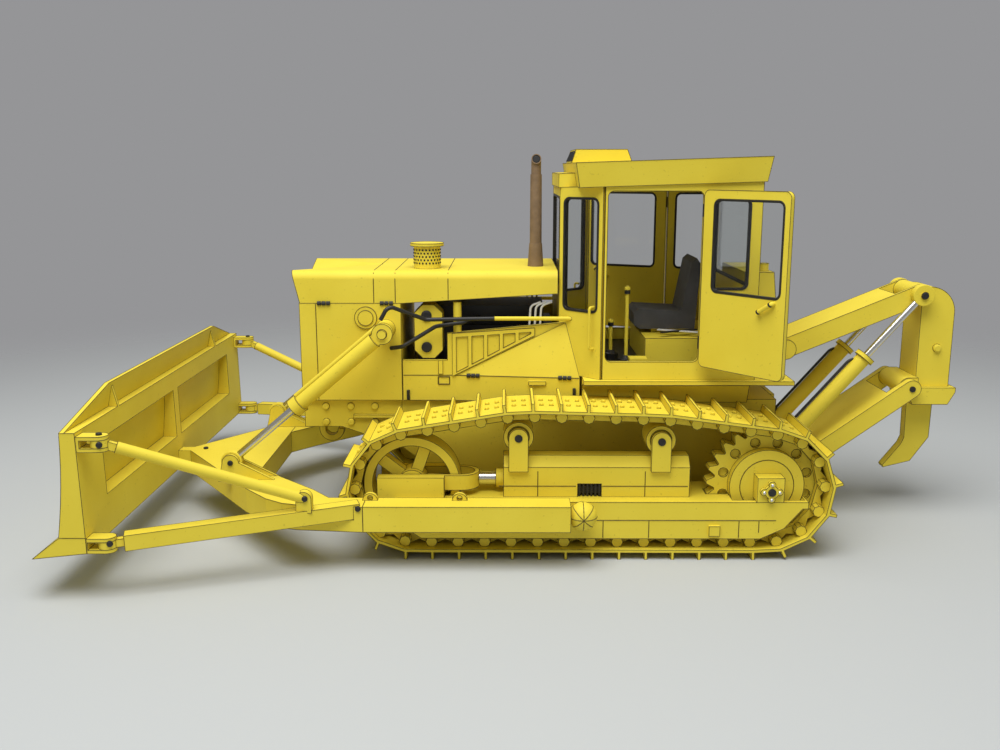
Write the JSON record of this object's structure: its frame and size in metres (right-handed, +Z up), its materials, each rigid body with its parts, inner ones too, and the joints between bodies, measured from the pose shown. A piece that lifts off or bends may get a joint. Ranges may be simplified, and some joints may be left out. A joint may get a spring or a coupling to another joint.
{
  "type": "scale model bulldozer",
  "caption": "Card scale model of a crawler bulldozer with a straight lifting blade, a glazed cab with swinging doors and a parallel-link rear ripper.",
  "frame": {"origin": "bottom centre of the bounding box, on the ground under the tracks", "axes": "+X from the blade to the ripper, +Y to the machine's right, +Z up"},
  "size_m": [0.2798, 0.164, 0.1221],
  "materials": {
    "yellow_card": "matte",
    "black_card": "matte",
    "charcoal_card": "matte",
    "bright_wire": "polished",
    "brown_paint": "matte",
    "clear_sheet": "clear"
  },
  "bodies": {
    "tractor": {"hull": "yellow_card", "front_frame": "yellow_card", "radiator": "yellow_card", "bonnet": "yellow_card", "engine": "black_card", "precleaner": "yellow_card", "exhaust": "brown_paint", "fender": "yellow_card", "cab_floor": "black_card", "cab_front": "yellow_card", "cab_rear": "yellow_card", "cab_glass": "clear_sheet", "cab_roof": "yellow_card", "roof_box": "yellow_card", "seat": "charcoal_card", "seat_box": "yellow_card", "levers": "yellow_card", "rear_tank": "yellow_card", "ripper_mount": "yellow_card", "track_right": "yellow_card", "track_left": "yellow_card", "cab_side_right": "yellow_card", "cab_side_left": "yellow_card", "track_frames": "yellow_card", "track_rollers": "yellow_card", "carrier_rollers": "yellow_card", "idlers": "yellow_card", "idler_yokes": "yellow_card", "recoil_rods": "bright_wire", "recoil_housings": "yellow_card", "recoil_springs": "black_card", "sprockets": "yellow_card", "axle_bearings": "yellow_card", "side_panels": "yellow_card", "valve_blocks": "yellow_card", "lift_hoses": "black_card", "lift_pipes": "yellow_card"},
    "push_frame": {"push_arms": "yellow_card", "push_diagonals": "yellow_card", "push_nose": "yellow_card", "upper_struts": "yellow_card", "lower_struts": "yellow_card", "blade_sheet": "yellow_card", "blade_back": "yellow_card", "cutting_edge": "yellow_card"},
    "lift_barrels": {"lift_barrels": "yellow_card"},
    "lift_rods": {"lift_rods": "bright_wire"},
    "ripper_frame": {"ripper_frame": "yellow_card"},
    "ripper_carriage": {"ripper_column": "yellow_card", "ripper_shank": "yellow_card"},
    "ripper_link": {"ripper_link": "yellow_card"},
    "ripper_barrels": {"ripper_barrels": "yellow_card"},
    "ripper_rods": {"ripper_rods": "bright_wire"},
    "door_left": {"door_left": "yellow_card", "door_left_glass": "clear_sheet"},
    "door_right": {"door_right": "yellow_card", "door_right_glass": "clear_sheet"}
  },
  "joints": [
    {"name": "blade_lift", "type": "hinge", "parent": "tractor", "child": "push_frame", "pos_m": [0.01185, 0, 0.0158], "axis": [0, 1, 0], "range_deg": [-7, 10]},
    {"name": "lift_barrel_swing", "type": "hinge", "parent": "tractor", "child": "lift_barrels", "pos_m": [-0.04905, 0, 0.0662], "axis": [0, 1, 0], "range_deg": [-8.99, 12.8]},
    {"name": "lift_rod_slide", "type": "slide", "parent": "lift_barrels", "child": "lift_rods", "axis": [-0.7652, 0, -0.6437], "range_m": [-0.01344, 0.00944]},
    {"name": "ripper_lift", "type": "hinge", "parent": "tractor", "child": "ripper_frame", "pos_m": [0.08645, 0, 0.0168], "axis": [0, -1, 0], "range_deg": [-28, 0]},
    {"name": "ripper_carriage_swing", "type": "hinge", "parent": "ripper_frame", "child": "ripper_carriage", "pos_m": [0.12415, 0, 0.0443], "axis": [0, -1, 0], "range_deg": [0, 37.28]},
    {"name": "ripper_link_swing", "type": "hinge", "parent": "tractor", "child": "ripper_link", "pos_m": [0.08225, 0, 0.0572], "axis": [0, -1, 0], "range_deg": [-25.7, 0]},
    {"name": "ripper_barrel_swing", "type": "hinge", "parent": "tractor", "child": "ripper_barrels", "pos_m": [0.08095, 0, 0.0225], "axis": [0, -1, 0], "range_deg": [-16.04, 0]},
    {"name": "ripper_rod_slide", "type": "slide", "parent": "ripper_barrels", "child": "ripper_rods", "axis": [0.6488, 0, 0.761], "range_m": [-0.01102, 0]},
    {"name": "door_left_swing", "type": "hinge", "parent": "tractor", "child": "door_left", "pos_m": [0.04875, -0.0358, 0.0576], "axis": [0, 0, 1], "range_deg": [-128, 17]},
    {"name": "door_right_swing", "type": "hinge", "parent": "tractor", "child": "door_right", "pos_m": [0.04875, 0.0358, 0.0576], "axis": [0, 0, -1], "range_deg": [-25, 120]}
  ],
  "couplings": [
    {"joint": "lift_barrel_swing", "follows": "blade_lift", "ratio": 1.2702},
    {"joint": "lift_rod_slide", "follows": "blade_lift", "m_per_rad": -0.076445},
    {"joint": "ripper_carriage_swing", "follows": "ripper_lift", "ratio": -1.3278},
    {"joint": "ripper_link_swing", "follows": "ripper_lift", "ratio": 0.9144},
    {"joint": "ripper_barrel_swing", "follows": "ripper_lift", "ratio": 0.5694},
    {"joint": "ripper_rod_slide", "follows": "ripper_lift", "m_per_rad": 0.022343}
  ]
}
